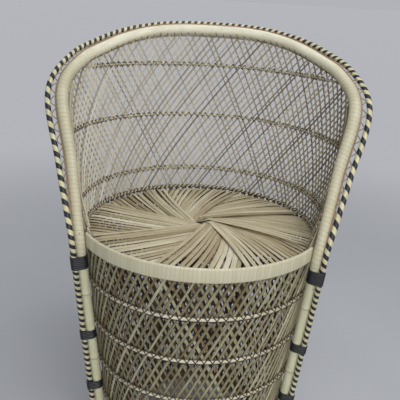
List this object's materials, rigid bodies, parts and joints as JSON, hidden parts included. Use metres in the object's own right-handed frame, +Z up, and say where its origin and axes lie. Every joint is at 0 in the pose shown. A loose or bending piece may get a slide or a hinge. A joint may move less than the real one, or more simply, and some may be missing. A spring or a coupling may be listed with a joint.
{
  "type": "barrel-back wicker chair",
  "caption": "Low open-weave rattan chair: a tapering lattice drum base, one bent pole that is front legs, arms and top rim, a wrapped-round lattice back and a pinwheel splint seat.",
  "frame": {"origin": "on the floor, under the middle of the chair's footprint box", "axes": "+Z up, +X to the right of someone looking at the chair from its front, -Y out of the open front"},
  "size_m": [0.5524, 0.4598, 0.765],
  "materials": {
    "rattan_pole": "cream peeled rattan, satin",
    "weave_splint": "tan split reed, matt",
    "hoop_reed": "cream round reed, matt",
    "seat_splint": "straw flat splint, satin",
    "dark_peel": "black dyed rattan peel, satin"
  },
  "bodies": {
    "root": {"rim_bow": "rattan_pole", "right_front_leg": "rattan_pole", "left_front_leg": "rattan_pole", "right_splice_dowel": "rattan_pole", "left_splice_dowel": "rattan_pole", "seat_hoop": "rattan_pole", "floor_hoop": "rattan_pole", "right_rear_leg": "rattan_pole", "left_rear_leg": "rattan_pole", "cross_brace": "rattan_pole", "long_brace": "rattan_pole", "front_rail_wrap": "rattan_pole", "drum_splints_outer": "weave_splint", "drum_splints_inner": "weave_splint", "back_splints_outer": "weave_splint", "back_splints_inner": "weave_splint", "drum_hoop_1": "hoop_reed", "drum_hoop_2": "hoop_reed", "drum_hoop_3": "hoop_reed", "drum_hoop_4": "hoop_reed", "back_hoop_1": "hoop_reed", "back_hoop_2": "hoop_reed", "back_hoop_3": "hoop_reed", "seat_edging": "hoop_reed", "seat_fan_1": "seat_splint", "seat_fan_2": "seat_splint", "seat_fan_3": "seat_splint", "seat_fan_4": "seat_splint", "seat_fan_5": "seat_splint", "seat_fan_6": "seat_splint", "seat_fan_7": "seat_splint", "seat_fan_8": "seat_splint", "edging_rod": "dark_peel", "right_seat_binding": "dark_peel", "right_upper_binding": "dark_peel", "right_lower_binding": "dark_peel", "right_foot_binding": "dark_peel", "left_seat_binding": "dark_peel", "left_upper_binding": "dark_peel", "left_lower_binding": "dark_peel", "left_foot_binding": "dark_peel"}
  },
  "joints": []
}
